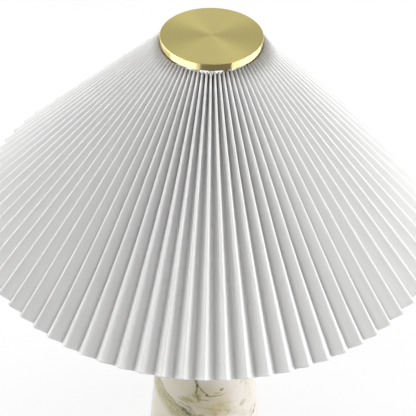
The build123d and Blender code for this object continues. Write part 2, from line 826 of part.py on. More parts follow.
def strip_outline(height):
    """Section of the whole strip at a height: out along its outside and back along its inside."""
    outside_top, inside_top = pleat_lines(shade_top_radius)
    outside_rim, inside_rim = pleat_lines(shade_rim_radius)
    start_outside, start_inside = strip_end(height, -1)
    points = [start_outside]
    for pleat in range(pleat_count):
        points += [crossing(height, pleat, *lines) for lines in zip(outside_top, outside_rim)]
    points += strip_end(height, 1)
    for pleat in reversed(range(pleat_count)):
        points += [crossing(height, pleat, *lines) for lines in zip(inside_top, inside_rim)]
    return points + [start_inside]


skin_depth = pleat_face + 2 * skin_wall
with BuildPart() as shade_skin:
    for height in (shade_top_z + skin_wall, shade_rim_z - skin_depth):
        with BuildSketch(Plane.XY.offset(height)):
            with BuildLine():
                Polyline(*strip_outline(height), close=True)
            make_face()
    loft(ruled=True)
    with BuildSketch(Plane.XZ):
        with BuildLine():
            Polyline(
                set_in(shade_top_radius, shade_top_z, -skin_wall),
                set_in(shade_rim_radius, shade_rim_z, -skin_wall),
                set_in(shade_rim_radius, shade_rim_z, skin_depth),
                set_in(shade_top_radius, shade_top_z, skin_depth),
                close=True,
            )
        make_face()
    revolve(axis=Axis.Z, mode=Mode.INTERSECT)
save(shade_skin, "shade_skin")

# ----------------------------------------------------------------------------------------------
# Brass plate that screws down on the shade
# ----------------------------------------------------------------------------------------------

with BuildPart(Plane.XY.offset(hub_top_z)) as plate_washer:
    Cylinder(washer_radius, washer_thickness, align=upwards)
    Cylinder(stud_thread_radius + hub_play, washer_thickness, align=upwards, mode=Mode.SUBTRACT)
save(plate_washer, "plate_washer")

with BuildPart(Plane.XY.offset(boss_low_z)) as plate_boss:
    Cylinder(boss_radius, boss_length, align=upwards)
    Cylinder(stud_thread_radius + running_clearance, boss_length, align=upwards, mode=Mode.SUBTRACT)
save(plate_boss, "plate_boss")

with BuildPart(Plane.XY.offset(plate_low_z)) as top_plate:
    Cylinder(plate_radius, plate_thickness, align=upwards)
    chamfer(edges().filter_by(GeomType.CIRCLE), plate_edge_break)
save(top_plate, "top_plate")
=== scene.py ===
"""Column table lamp: a veined marble column, an accordion-pleated cone of white cloth over a harp and a
bulb, and a brushed brass plate that screws down on top of the shade. Lengths are in metres."""

import math

import bmesh
import bpy
from mathutils import Matrix, Vector


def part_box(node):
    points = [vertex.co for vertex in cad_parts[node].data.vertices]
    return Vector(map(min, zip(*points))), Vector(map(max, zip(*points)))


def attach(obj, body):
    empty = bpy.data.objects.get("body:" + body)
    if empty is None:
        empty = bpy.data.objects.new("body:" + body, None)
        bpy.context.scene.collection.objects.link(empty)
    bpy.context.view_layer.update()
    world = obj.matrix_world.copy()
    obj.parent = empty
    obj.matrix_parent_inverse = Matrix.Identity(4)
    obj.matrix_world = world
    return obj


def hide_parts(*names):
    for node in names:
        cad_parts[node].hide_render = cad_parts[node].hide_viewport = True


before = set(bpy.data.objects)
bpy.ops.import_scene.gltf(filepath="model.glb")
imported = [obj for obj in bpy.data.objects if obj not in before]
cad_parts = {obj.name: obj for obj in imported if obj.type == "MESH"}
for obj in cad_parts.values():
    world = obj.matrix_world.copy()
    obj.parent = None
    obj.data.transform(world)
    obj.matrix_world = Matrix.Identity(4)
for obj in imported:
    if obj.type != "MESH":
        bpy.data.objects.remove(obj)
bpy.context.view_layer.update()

# Camera. It stands in front of the lamp, above the plate, and looks down on the shade. A long lens keeps the
# cone's far rim nearly as large as the near one.
camera_place = Vector((0.002, -0.7525, 1.0167))
camera_pitch = math.radians(42.0)  # below level
camera_yaw = math.radians(0.18)  # towards the lamp's left
camera_roll = math.radians(1.08)
camera_lens = 88.15  # millimetres
camera_sensor = 36.0  # millimetres

camera_data = bpy.data.cameras.new("camera")
camera_data.lens = camera_lens
camera_data.sensor_width = camera_sensor
camera_data.clip_start = 0.05
camera = bpy.data.objects.new("camera", camera_data)
camera.matrix_world = (
    Matrix.Translation(camera_place)
    @ Matrix.Rotation(camera_yaw, 4, "Z")
    @ Matrix.Rotation(math.pi / 2 - camera_pitch, 4, "X")
    @ Matrix.Rotation(camera_roll, 4, "Z")
)
bpy.context.scene.collection.objects.link(camera)
bpy.context.scene.camera = camera
bpy.context.scene.view_settings.view_transform = "Standard"


# Floor and light. A plain white floor in a white room, with four wide soft lamps: a strong one low at the
# right, one at the left, one above the camera and a weak one behind. The camera sees floor and room as white,
# also in metal and through glass.
class Wire:
    """A socket of a node tree that Python sums can use: each operator adds the Math node that does it."""

    def __init__(self, tree, socket=None):
        self.tree = tree
        self.socket = socket

    def node(self, kind, settings=None, inputs=None, output=0):
        """Add one node: its settings first, then the values or wires of its sockets."""
        made = self.tree.nodes.new(kind)
        for name, value in (settings or {}).items():
            setattr(made, name, value)
        for place, value in (inputs or {}).items():
            if isinstance(value, Wire):
                self.tree.links.new(value.socket, made.inputs[place])
            else:
                made.inputs[place].default_value = value
        return Wire(self.tree, made.outputs[output] if made.outputs else None)

    def maths(self, operation, *others):
        """Work on this wire with a Math node, whose other values follow."""
        return self.node("ShaderNodeMath", {"operation": operation}, dict(enumerate((self, *others))))

    def __add__(self, other):
        return self.maths("ADD", other)

    def __radd__(self, other):
        return self.maths("ADD", other)

    def __sub__(self, other):
        return self.maths("SUBTRACT", other)

    def __rsub__(self, other):
        return self.node("ShaderNodeMath", {"operation": "SUBTRACT"}, {0: other, 1: self})

    def __mul__(self, other):
        return self.maths("MULTIPLY", other)

    def __rmul__(self, other):
        return self.maths("MULTIPLY", other)

    def __truediv__(self, other):
        return self.maths("DIVIDE", other)

    def __rtruediv__(self, other):
        return self.node("ShaderNodeMath", {"operation": "DIVIDE"}, {0: other, 1: self})

    def __pow__(self, other):
        return self.maths("POWER", other)

    def __abs__(self):
        return self.maths("ABSOLUTE")

    def step(self, low, high):
        """Rise smoothly from 0 at low to 1 at high, or fall where low is the larger."""
        if low > high:
            return 1.0 - self.step(high, low)
        values = {"Value": self, "From Min": low, "From Max": high}
        return self.node("ShaderNodeMapRange", {"interpolation_type": "SMOOTHSTEP"}, values)

    def mix(self, first, second):
        """Go from one colour to another as this wire goes from 0 to 1."""
        return self.node("ShaderNodeMix", {"data_type": "RGBA"}, {0: self, 6: first, 7: second}, 2)

    def axes(self):
        """The three numbers of a vector."""
        split = self.node("ShaderNodeSeparateXYZ", inputs={0: self}).socket.node
        return [Wire(self.tree, socket) for socket in split.outputs]

    def stretch(self, x, y, z):
        """A vector with each of its numbers made larger or smaller."""
        return self.node("ShaderNodeVectorMath", {"operation": "MULTIPLY"}, {0: self, 1: (x, y, z)})

    def noise(self, scale, detail=2.0, roughness=0.5, distortion=0.0):
        """Soft noise between 0 and 1 over this vector."""
        shape = {"Scale": scale, "Detail": detail, "Roughness": roughness, "Distortion": distortion}
        return self.node("ShaderNodeTexNoise", inputs={"Vector": self, **shape})


def seen_by(wire, *rays):
    """1 for the rays named, such as Camera or Glossy, and 0 for all others."""
    found = [wire.node("ShaderNodeLightPath", output=f"Is {ray} Ray") for ray in rays]
    most = found[0]
    for other in found[1:]:
        most = most.maths("MAXIMUM", other)
    return most


white = (1.0, 1.0, 1.0, 1.0)
room_light = 0.17  # on plain surfaces
room_shine = 0.88  # in metal and gloss
world = bpy.data.worlds.new("room")
world.use_nodes = True
world.node_tree.nodes.clear()
room = Wire(world.node_tree)
room_seen = seen_by(room, "Camera", "Transmission") * (1.0 - room_light)
room_strength = room_seen + seen_by(room, "Glossy") * (room_shine - room_light) + room_light
background = room.node("ShaderNodeBackground", inputs={"Color": white, "Strength": room_strength})
room.node("ShaderNodeOutputWorld", inputs={"Surface": background})
bpy.context.scene.world = world

floor_radius = 7.0
floor_sides = 96
floor_white = (0.86, 0.86, 0.86, 1.0)
floor_shadow_share = 0.2  # how much of the real floor, with its shadow, shows in its white
floor_mesh = bpy.data.meshes.new("floor")
floor_bench = bmesh.new()
bmesh.ops.create_circle(floor_bench, cap_ends=True, segments=floor_sides, radius=floor_radius)
floor_bench.to_mesh(floor_mesh)
floor_bench.free()
floor = bpy.data.objects.new("floor", floor_mesh)
bpy.context.scene.collection.objects.link(floor)
floor_paint = bpy.data.materials.new("floor_white")
floor_paint.use_nodes = True
floor_paint.node_tree.nodes.clear()
ground = Wire(floor_paint.node_tree)
matt = ground.node("ShaderNodeBsdfDiffuse", inputs={"Color": floor_white})
glow = ground.node("ShaderNodeEmission", inputs={"Color": white, "Strength": 1.0})
glow_share = seen_by(ground, "Camera", "Glossy", "Transmission") * (1.0 - floor_shadow_share)
floor_shader = ground.node("ShaderNodeMixShader", inputs={0: glow_share, 1: matt, 2: glow})
ground.node("ShaderNodeOutputMaterial", inputs={"Surface": floor_shader})
floor_mesh.materials.append(floor_paint)


lamp_width = 1.7
lamp_aim = Vector((0.0, 0.0, 0.4))


def soft_lamp(name, place, watts, shines=True):
    """A square lamp with a soft face, aimed at the table lamp. shines is whether gloss mirrors it."""
    data = bpy.data.lights.new(name, "AREA")
    data.size = lamp_width
    data.energy = watts
    lamp = bpy.data.objects.new(name, data)
    lamp.location = place
    lamp.rotation_euler = (lamp_aim - Vector(place)).to_track_quat("-Z", "Y").to_euler()
    lamp.visible_camera = False
    lamp.visible_glossy = shines
    bpy.context.scene.collection.objects.link(lamp)


soft_lamp("right_lamp", (2.57, 0.0, 1.25), 84.0)
soft_lamp("left_lamp", (-2.1, 0.5, 2.0), 54.0)
soft_lamp("front_lamp", (0.0, -1.35, 2.75), 34.0, False)
soft_lamp("back_lamp", (0.0, 2.07, 2.14), 7.0, False)


def card(name, place, size, turn, tilt, brightness):
    """A flat card that only gloss can see. Turn is about the upright axis, tilt is how far it stands up."""
    mesh = bpy.data.meshes.new(name)
    half_x = size[0] / 2.0
    half_y = size[1] / 2.0
    corners = [(-half_x, -half_y), (half_x, -half_y), (half_x, half_y), (-half_x, half_y)]
    mesh.from_pydata([(x, y, 0.0) for x, y in corners], [], [(0, 1, 2, 3)])
    made = bpy.data.objects.new(name, mesh)
    made.location = place
    made.rotation_euler = (math.radians(tilt), 0.0, math.radians(turn))
    bpy.context.scene.collection.objects.link(made)
    made.visible_camera = False
    made.visible_diffuse = False
    made.visible_transmission = False
    made.visible_volume_scatter = False
    made.visible_shadow = False
    paint = bpy.data.materials.new(name)
    paint.use_nodes = True
    paint.node_tree.nodes.clear()
    face = Wire(paint.node_tree)
    light = face.node("ShaderNodeEmission", inputs={"Color": white, "Strength": brightness})
    face.node("ShaderNodeOutputMaterial", inputs={"Surface": light})
    mesh.materials.append(paint)


# The plate's polished edge mirrors the floor round the lamp, and its top mirrors the wall behind the camera
# and the ceiling. These cards stand there.
card("dark_floor_card", (0.30, -0.82, 0.004), (1.15, 0.60), 20.0, 0.0, 0.24)
card("left_floor_card", (-0.80, -0.36, 0.004), (0.90, 0.60), -66.0, 0.0, 2.5)
card("right_floor_card", (0.86, 0.02, 0.004), (1.20, 0.60), 91.0, 0.0, 2.5)
card("dark_wall_card", (0.0, -2.6, 2.3), (3.0, 2.6), 0.0, 90.0, 0.1)
card("ceiling_card", (0.0, 0.0, 3.7), (4.4, 5.2), 0.0, 0.0, 0.42)


# Felt pad. A round of grey wool felt, cut with a knife and glued under the column so that the marble doesn't
# scratch the table; its edge is a little fuzzy.
def finish(name):
    """A new material, and the wire of its Object coordinates, from which its other nodes are made."""
    material = bpy.data.materials.new(name)
    material.use_nodes = True
    material.node_tree.nodes.clear()
    return material, Wire(material.node_tree).node("ShaderNodeTexCoord", output="Object")


def seal(material, spot, relief=None, depth=0.0, **look):
    """Give a material its shader. relief is its height from 0 to 1, and depth is how high 1 stands."""
    names = {
        "colour": "Base Color", "roughness": "Roughness", "metal": "Metallic", "coat": "Coat Weight",
        "coat_roughness": "Coat Roughness", "sheen": "Sheen Weight", "anisotropy": "Anisotropic",
        "alpha": "Alpha",
    }
    sockets = {names[name]: value for name, value in look.items()}
    if relief is not None:
        bump = {"Strength": 1.0, "Distance": depth, "Height": relief}
        sockets["Normal"] = spot.node("ShaderNodeBump", inputs=bump)
    shader = spot.node("ShaderNodeBsdfPrincipled", inputs=sockets)
    spot.node("ShaderNodeOutputMaterial", inputs={"Surface": shader})
    return material


def piece(name, mesh, material, body, slot, *nodes):
    """Put a finished mesh on its body in the place of CAD nodes."""
    made = bpy.data.objects.new(name, mesh)
    bpy.context.scene.collection.objects.link(made)
    mesh.materials.clear()
    mesh.materials.append(material)
    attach(made, body)
    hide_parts(*nodes)
    return made


felt_low, felt_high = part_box("felt_pad")
felt_radius = felt_high.x
felt_edge = 0.0007  # how far the cut edge is worn back
felt_sides = 128
weld = 0.00001  # points closer than this are one
felt_bench = bmesh.new()
felt_profile = [
    (0.0, felt_low.z),
    (felt_radius - felt_edge, felt_low.z),
    (felt_radius, felt_low.z + felt_edge),
    (felt_radius, felt_high.z - felt_edge),
    (felt_radius - felt_edge, felt_high.z),
    (0.0, felt_high.z),
]
felt_outline = [felt_bench.verts.new((x, 0.0, z)) for x, z in felt_profile]
felt_lines = [felt_bench.edges.new(pair) for pair in zip(felt_outline, felt_outline[1:])]
bmesh.ops.spin(felt_bench, geom=felt_lines, axis=(0, 0, 1), cent=(0, 0, 0), steps=felt_sides, angle=math.tau)
bmesh.ops.remove_doubles(felt_bench, verts=felt_bench.verts, dist=weld)
bmesh.ops.recalc_face_normals(felt_bench, faces=felt_bench.faces)
felt_mesh = bpy.data.meshes.new("foot_felt")
felt_bench.to_mesh(felt_mesh)
felt_bench.free()

felt, felt_spot = finish("wool_felt")
felt_fibres = felt_spot.noise(900.0, 5.0, 0.7, 1.5)
felt_patches = felt_spot.noise(60.0, 3.0)
dark_grey = (0.05, 0.05, 0.052, 1.0)
soft_grey = (0.13, 0.13, 0.132, 1.0)
felt_colour = (felt_fibres * 0.6 + felt_patches * 0.4).mix(dark_grey, soft_grey)
felt_rough = felt_fibres * 0.1 + 0.9
seal(felt, felt_spot, felt_fibres, depth=0.0003, colour=felt_colour, roughness=felt_rough, sheen=0.3)
foot_felt = piece("foot_felt", felt_mesh, felt, "lamp_base", "felt", "felt_pad")


# Marble column. One turned and tapered block of cream marble, polished all round, with olive and brown veins
# that run through the stone. Its front has a broad green band at the left and a thin dark fork beside it.
def dress(material, *nodes):
    """Give CAD nodes a finished material."""
    for name in nodes:
        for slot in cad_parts[name].material_slots:
            slot.material = material


def along(spot, x, y, z):
    """How far a point lies along a direction."""
    return spot.node("ShaderNodeVectorMath", {"operation": "DOT_PRODUCT"}, {0: spot, 1: (x, y, z)}, "Value")


def near(spot, place, reach):
    """1 at a place in the stone, falling to 0 at its reach."""
    core = 0.35  # share of the reach that is at full strength
    gap = spot.node("ShaderNodeVectorMath", {"operation": "DISTANCE"}, {0: spot, 1: place}, "Value")
    return gap.step(reach, reach * core)


def warped(spot, scale, amount, detail=3.0):
    """The same place, shifted a little by noise, so that what is drawn there wanders."""
    ripple = {"Vector": spot, "Scale": scale, "Detail": detail}
    shift = spot.node("ShaderNodeTexNoise", inputs=ripple, output="Color")
    centred = spot.node("ShaderNodeVectorMath", {"operation": "SUBTRACT"}, {0: shift, 1: (0.5, 0.5, 0.5)})
    moved = centred.stretch(amount, amount, amount)
    return spot.node("ShaderNodeVectorMath", {"operation": "ADD"}, {0: spot, 1: moved})


def between(wire, start, first, last, end):
    """1 from first to last, fading to 0 at start and at end."""
    return wire.step(start, first) * wire.step(end, last)


def cells(spot, scale):
    """How far a point lies from the nearest wall between cells of a random net."""
    net = {"Vector": spot, "Scale": scale}
    return spot.node("ShaderNodeTexVoronoi", {"feature": "DISTANCE_TO_EDGE"}, net)


cream = (0.66, 0.61, 0.49, 1.0)
milk = (0.67, 0.63, 0.59, 1.0)
honey = (0.52, 0.44, 0.26, 1.0)
olive = (0.34, 0.31, 0.11, 1.0)
dark_olive = (0.13, 0.11, 0.012, 1.0)
umber = (0.30, 0.21, 0.06, 1.0)
dark_umber = (0.23, 0.18, 0.05, 1.0)
tan_brown = (0.38, 0.28, 0.12, 1.0)
moss = (0.33, 0.28, 0.11, 1.0)

marble, marble_spot = finish("cream_marble")
bent = warped(warped(marble_spot, 38.0, 0.008), 190.0, 0.0044)
bent_x, bent_y, bent_z = bent.axes()
grain = warped(marble_spot, 120.0, 0.004).noise(190.0, 6.0, 0.66)
clouds = bent.noise(24.0, 4.0, 0.55).step(0.34, 0.66)
to_the_right = along(bent, 0.94, 0.0, 0.34).step(0.012, 0.055)
stone = (clouds * 0.4 + to_the_right * 0.6).mix(cream, milk)
blush = warped(marble_spot, 16.0, 0.03).noise(9.0, 3.0, 0.6).step(0.5, 0.72)
honeyed = near(bent, (0.003, -0.058, 0.104), 0.036) * 0.7 + near(bent, (0.018, -0.057, 0.081), 0.024) * 0.5
stone = (blush * 0.4 + honeyed).mix(stone, honey)

# Broad olive bands: the one at the front slopes down to the right, is streaked along its length and is
# darkest at its upper edge. The others drift through the rest of the block.
band_slope = (0.533, 0.846)
across_band = along(bent, band_slope[0], 0.0, band_slope[1])
down_band = along(bent, band_slope[1], 0.0, -band_slope[0])
fine_streak = 380.0
long_streak = 60.0
band_spot = marble_spot.node("ShaderNodeCombineXYZ", inputs={
    0: across_band * fine_streak, 1: down_band * long_streak, 2: bent_y * long_streak})
streaks = band_spot.noise(1.0, 6.0, 0.72, 0.6)
speckle = marble_spot.noise(520.0, 3.0, 0.7).step(0.40, 0.62)
left_side = bent_x.step(0.03, 0.0)
band = between(across_band, 0.026, 0.040, 0.0575, 0.0605) * left_side
stone = (band * (streaks.step(0.34, 0.56) * 0.35 + speckle * 0.40 + 0.30)).mix(stone, olive)
band_edge = between(across_band, 0.043, 0.056, 0.058, 0.0615) * left_side
band_edge = band_edge + near(bent, (-0.0185, -0.056, 0.0845), 0.012)
stone = (band_edge * streaks.step(0.40, 0.60) * (speckle * 0.45 + 0.45)).mix(stone, dark_olive)
drifts = abs(warped(marble_spot, 9.0, 0.10, 2.0).noise(7.0, 1.0) - 0.5)
not_in_front = 1.0 - near(marble_spot, (0.01, -0.06, 0.09), 0.085)
drift_band = drifts.step(0.022, 0.008) * not_in_front
stone = (drift_band * (grain.step(0.35, 0.65) * 0.6 + 0.2)).mix(stone, olive)
drift_line = drifts.step(0.0035, 0.001) * not_in_front
stone = (drift_line * grain.step(0.3, 0.6) * 0.8).mix(stone, dark_olive)

# A dark fork beside the band: a stem, a branch down to the right, and three twigs, with a soft olive halo
# and thick knots.
front = along(marble_spot, 0.0, 1.0, 0.0).step(-0.02, -0.035)
off_stem = abs(along(bent, 0.997, 0.0, 0.08) - 0.001)
off_branch = abs(along(bent, 0.777, 0.0, 0.63) - 0.0731)
off_twig = abs(along(bent, 0.119, 0.0, 0.993) - 0.1111)
stem = off_stem.step(0.0019, 0.0006) * bent_z.step(0.098, 0.104)
branch = off_branch.step(0.0011, 0.0003) * between(bent_x, -0.010, -0.006, 0.003, 0.0055)
twig = off_twig.step(0.0013, 0.0004) * between(bent_x, 0.001, 0.004, 0.019, 0.024)
low_twig = abs(bent_z - 0.1047).step(0.0012, 0.0004) * between(bent_x, -0.010, -0.006, 0.002, 0.007) * 0.7
short_twig = abs(bent_z - 0.1148).step(0.0009, 0.0003) * between(bent_x, 0.010, 0.013, 0.017, 0.0195)
fork = (stem + branch + twig + low_twig + short_twig) * front * grain.step(0.26, 0.42)
halo = off_stem.step(0.0055, 0.001) * bent_z.step(0.094, 0.104)
halo = halo + off_branch.step(0.004, 0.0005) * bent_x.step(-0.010, -0.006) * 0.6
stone = (halo * front * grain.step(0.35, 0.62) * 0.45).mix(stone, olive)
knots = (near(bent, (-0.0088, -0.0548, 0.1265), 0.0026) + near(bent, (-0.0074, -0.0562, 0.1075), 0.0034)
         + near(bent, (0.0037, -0.0563, 0.1114), 0.0022))
stone = (fork * 0.8 + knots * 0.8).mix(stone, dark_olive)

# Where the band meets the fork the stone is streaked with olive, and it has an olive patch below. Lower down
# a thin rusty vein with two drops runs to the right.
off_feather = abs(along(bent, 0.57, 0.0, -0.82) + 0.0933)
feather = off_feather.step(0.009, 0.002) * between(bent_x, -0.034, -0.024, -0.006, 0.001)
stone = (feather * front * streaks.step(0.42, 0.56) * 0.85).mix(stone, olive)
low_patch = abs(bent_z - 0.0775).step(0.006, 0.002) * between(bent_x, -0.016, -0.011, -0.002, 0.002) * front
stone = (low_patch * grain.step(0.3, 0.5) * 0.8).mix(stone, olive)
off_rusty = abs(along(bent, 0.30, 0.0, 0.954) - 0.0868)
rusty = off_rusty.step(0.0016, 0.0004) * between(bent_x, -0.014, -0.008, 0.030, 0.040) * front
drops = near(bent, (0.0116, -0.0577, 0.081), 0.006) + near(bent, (0.0256, -0.0532, 0.0785), 0.005)
stone = ((rusty + drops) * grain.step(0.34, 0.6) * 0.5).mix(stone, umber)

# At the right: brown spots, a small dark claw, an upright wisp, and a fine broken net. A coarser net runs
# through the whole block.
spots = (near(bent, (0.019, -0.0525, 0.120), 0.0034) + near(bent, (0.0434, -0.040, 0.0802), 0.0060) * 0.55
         + near(bent, (0.040, -0.039, 0.117), 0.003) * 0.5)
stone = (spots * grain.step(0.3, 0.55)).mix(stone, dark_umber)
claw_lines = abs(warped(marble_spot, 90.0, 0.006).noise(85.0, 2.0) - 0.5).step(0.05, 0.015)
claw = near(bent, (0.0565, -0.0245, 0.048), 0.011) * claw_lines
stone = (claw * 0.9).mix(stone, dark_olive)
wisps = abs(along(bent, 0.985, 0.0, 0.17) - 0.0655).step(0.0025, 0.0006) * front * grain.step(0.44, 0.6)
stone = (wisps * 0.5).mix(stone, umber)
net_lines = cells(warped(marble_spot, 30.0, 0.022), 21.0).step(0.022, 0.003)
net_lines = net_lines * marble_spot.noise(17.0, 2.0).step(0.52, 0.68) * grain.step(0.36, 0.6)
stone = (net_lines * 0.4).mix(stone, tan_brown)
right_front = along(marble_spot, 1.0, 0.0, 0.0).step(0.012, 0.024) * front
fine_lines = cells(warped(marble_spot, 60.0, 0.012), 62.0).step(0.05, 0.008) * right_front
fine_lines = fine_lines * marble_spot.noise(45.0, 2.0).step(0.46, 0.58)
stone = (fine_lines * grain.step(0.34, 0.6) * 0.45).mix(stone, moss)
seal(marble, marble_spot, grain, depth=0.00001, colour=stone, roughness=grain * 0.08 + 0.16, coat=0.08,
     coat_roughness=0.05)
dress(marble, "marble_column")


# Threaded rod, washers and bottom nut. Zinc-plated steel: the hollow rod clamps the column between the nut
# in the recess under the foot and the nut on the brass cap.
def plated(name, colour, roughness, mottle=0.06, scratch=0.00001):
    """A plated metal: the plating's tone and gloss wander a little, and handling leaves fine marks."""
    material, spot = finish(name)
    haze = spot.noise(70.0, 4.0, 0.6)
    marks = spot.stretch(1.0, 1.0, 6.0).noise(420.0, 4.0, 0.65)
    dark = tuple(part * (1.0 - 2.0 * mottle) for part in colour)
    tone = (haze * 0.7 + marks * 0.3).mix((*dark, 1.0), (*colour, 1.0))
    rough = (haze * 0.35 + marks * 0.15 + 0.75) * roughness
    return seal(material, spot, marks, depth=scratch, colour=tone, roughness=rough, metal=1.0)


zinc = plated("zinc_plating", (0.64, 0.65, 0.67), 0.38, mottle=0.12)
dress(zinc, "bottom_washer", "lock_washer", "bottom_nut", "threaded_rod")

# Column cap and cap nut. Brass, turned and lacquered: the cap covers the column's upper end, and the nut on
# the rod pulls it down.
turned_brass = plated("turned_brass", (0.74, 0.59, 0.31), 0.24, mottle=0.05)
dress(turned_brass, "column_cap", "cap_nut")


# Cord bushing. A black plastic inlet with a flange, pressed into the hole at the back of the foot, so that
# the marble's edge doesn't chafe the cord.
def moulded(name, colour, roughness):
    """Moulded plastic: a fine even grain with slightly glossier patches."""
    material, spot = finish(name)
    grain = spot.noise(1500.0, 3.0, 0.6)
    patches = spot.noise(90.0, 3.0)
    dark = tuple(part * 0.8 for part in colour)
    tone = patches.mix((*dark, 1.0), (*colour, 1.0))
    rough = (patches - 0.5) * 0.12 + roughness
    return seal(material, spot, grain, depth=0.00004, colour=tone, roughness=rough)


dress(moulded("black_nylon", (0.05, 0.05, 0.052), 0.45), "cord_bushing")

# Harp saddle, switch spindle and harp. Nickel-plated steel: the saddle is a bent strap, the harp a bent wire
# whose feet stand on the saddle's posts, and the spindle turns in the lamp holder's side.
nickel = plated("nickel_plating", (0.70, 0.67, 0.62), 0.22, mottle=0.06)
dress(nickel, "harp_saddle", "switch_spindle", "harp")

# Lamp holder. A drawn brass cap and shell with a paper liner, round an insulating body that holds the
# screw shell, the centre contact and the two terminal screws.
dress(plated("holder_brass", (0.72, 0.57, 0.31), 0.3, mottle=0.06), "socket_cap", "socket_shell")
dress(moulded("brown_fibre", (0.36, 0.28, 0.19), 0.8), "socket_liner")
dress(moulded("phenolic", (0.06, 0.048, 0.042), 0.35), "socket_insulator", "switch_knob")
dress(plated("aluminium", (0.78, 0.78, 0.78), 0.34, mottle=0.08), "screw_shell")
dress(turned_brass, "terminal_screws", "centre_contact")

# Bulb. An opal glass envelope on a nickelled screw cap, with a solder contact in black glass below and the
# light source on its glass stem inside.
dress(plated("solder", (0.58, 0.58, 0.58), 0.42, mottle=0.15, scratch=0.00004), "bulb_button")
dress(moulded("black_glass", (0.02, 0.02, 0.022), 0.12), "bulb_insulator")
dress(plated("cap_nickel", (0.73, 0.72, 0.69), 0.28, mottle=0.08), "bulb_cap")
opal, opal_spot = finish("opal_glass")
opal_cloud = opal_spot.noise(40.0, 3.0)
opal_tone = opal_cloud.mix((0.91, 0.90, 0.87, 1.0), (0.95, 0.94, 0.92, 1.0))
seal(opal, opal_spot, colour=opal_tone, roughness=opal_cloud * 0.08 + 0.16, coat=0.6, coat_roughness=0.04)
dress(opal, "bulb_glass")
stem_glass, stem_spot = finish("stem_glass")
stem_tone = stem_spot.noise(60.0).mix((0.84, 0.87, 0.87, 1.0), (0.92, 0.94, 0.94, 1.0))
seal(stem_glass, stem_spot, colour=stem_tone, roughness=stem_spot.noise(200.0) * 0.05 + 0.05, alpha=0.35)
dress(stem_glass, "bulb_stem")
emitter, emitter_spot = finish("phosphor")
dots = emitter_spot.node("ShaderNodeTexVoronoi", inputs={"Scale": 700.0})
emitter_tone = dots.step(0.2, 0.6).mix((0.93, 0.76, 0.28, 1.0), (0.86, 0.66, 0.22, 1.0))
seal(emitter, emitter_spot, dots, depth=0.0002, colour=emitter_tone, roughness=0.55)
dress(emitter, "bulb_filament")

# Harp ferrules and stud. Turned brass: the sleeves lock the harp's feet, and the stud turns in the harp's
# top and takes the plate's thread.
dress(turned_brass, "ferrule_left", "ferrule_right", "harp_stud")

# Shade frame. Steel wire, bent and welded, powder-coated white: a hub with three arms, the top and bottom
# rings and the struts between them, which the pleated skin lies on.
powder, powder_spot = finish("white_powder_coat")
orange_peel = powder_spot.noise(700.0, 3.0, 0.55)
powder_tone = powder_spot.noise(45.0, 3.0).mix((0.80, 0.79, 0.77, 1.0), (0.88, 0.87, 0.85, 1.0))
powder_rough = orange_peel * 0.12 + 0.42
seal(powder, powder_spot, orange_peel, depth=0.00006, colour=powder_tone, roughness=powder_rough)
dress(powder, "spider_hub", "spider_arms", "top_ring", "bottom_ring", "shade_struts")

# Pleated skin. One strip of stiffened white cloth, pressed into accordion pleats and closed to a cone at the
# back. Its faces keep their width, so the folds stand close and deep at the top and open out to the rim. The
# ridges are soft, the valleys sharp, and the rim is turned over to a narrow hem.
skin_sizes = {
    "Face Width": 0.0138,  # from fold to fold
    "Top Radius": 0.0457,  # to the ridges
    "Top Height": 0.5329,
    "Rim Radius": 0.229,
    "Rim Height": 0.3557,
    "Wall": 0.0006,
    "Hem": 0.0019,  # thickness of the hem
    "Hem Length": 0.0026,
    "Valley Length": 0.0008,  # how much further down the valleys reach than the ridges
    "Ridge Share": 0.12,  # radius of a ridge, as a share of half a pleat's width
    "Ridge Least": 0.0003,  # added to that radius
    "Valley Radius": 0.00045,
    "Sideways Play": 0.035,  # how far a fold strays, as a share of half a pleat
    "Depth Play": 0.0003,
}
pleat_count = 81
pleat_seed = 7
pleat_points = 16  # columns of the mesh for one pleat
body_rows = 13  # rows of the mesh from the top to the hem, on each side of the cloth
edge_rows = 3  # rows down the hem
hem_rows = 6  # rows round its edge

skin_tree = bpy.data.node_groups.new("pleated_skin", "GeometryNodeTree")
skin_tree.interface.new_socket("Geometry", in_out="OUTPUT", socket_type="NodeSocketGeometry")
for label in skin_sizes:
    skin_tree.interface.new_socket(label, in_out="INPUT", socket_type="NodeSocketFloat")
for label in ("Pleats", "Seed"):
    skin_tree.interface.new_socket(label, in_out="INPUT", socket_type="NodeSocketInt")
skin_tree.interface.new_socket("Material", in_out="INPUT", socket_type="NodeSocketMaterial")

bench = Wire(skin_tree)
entry = bench.node("NodeGroupInput").socket.node
size = {socket.name: Wire(skin_tree, socket) for socket in entry.outputs if socket.name}

skin_rows = body_rows + edge_rows
row_count = 2 * skin_rows + hem_rows + 1
columns = size["Pleats"] * pleat_points + 1
grid = bench.node("GeometryNodeMeshGrid", inputs={
    "Size X": columns - 1.0, "Size Y": row_count - 1.0, "Vertices X": columns, "Vertices Y": row_count})
grid_x, grid_y, _ = bench.node("GeometryNodeInputPosition").axes()
column = (grid_x + (columns - 1.0) / 2.0).maths("ROUND")
row = (grid_y + (row_count - 1.0) / 2.0).maths("ROUND")


def held(wire):
    """Keep a number between 0 and 1."""
    return wire.node("ShaderNodeClamp", inputs={0: wire})


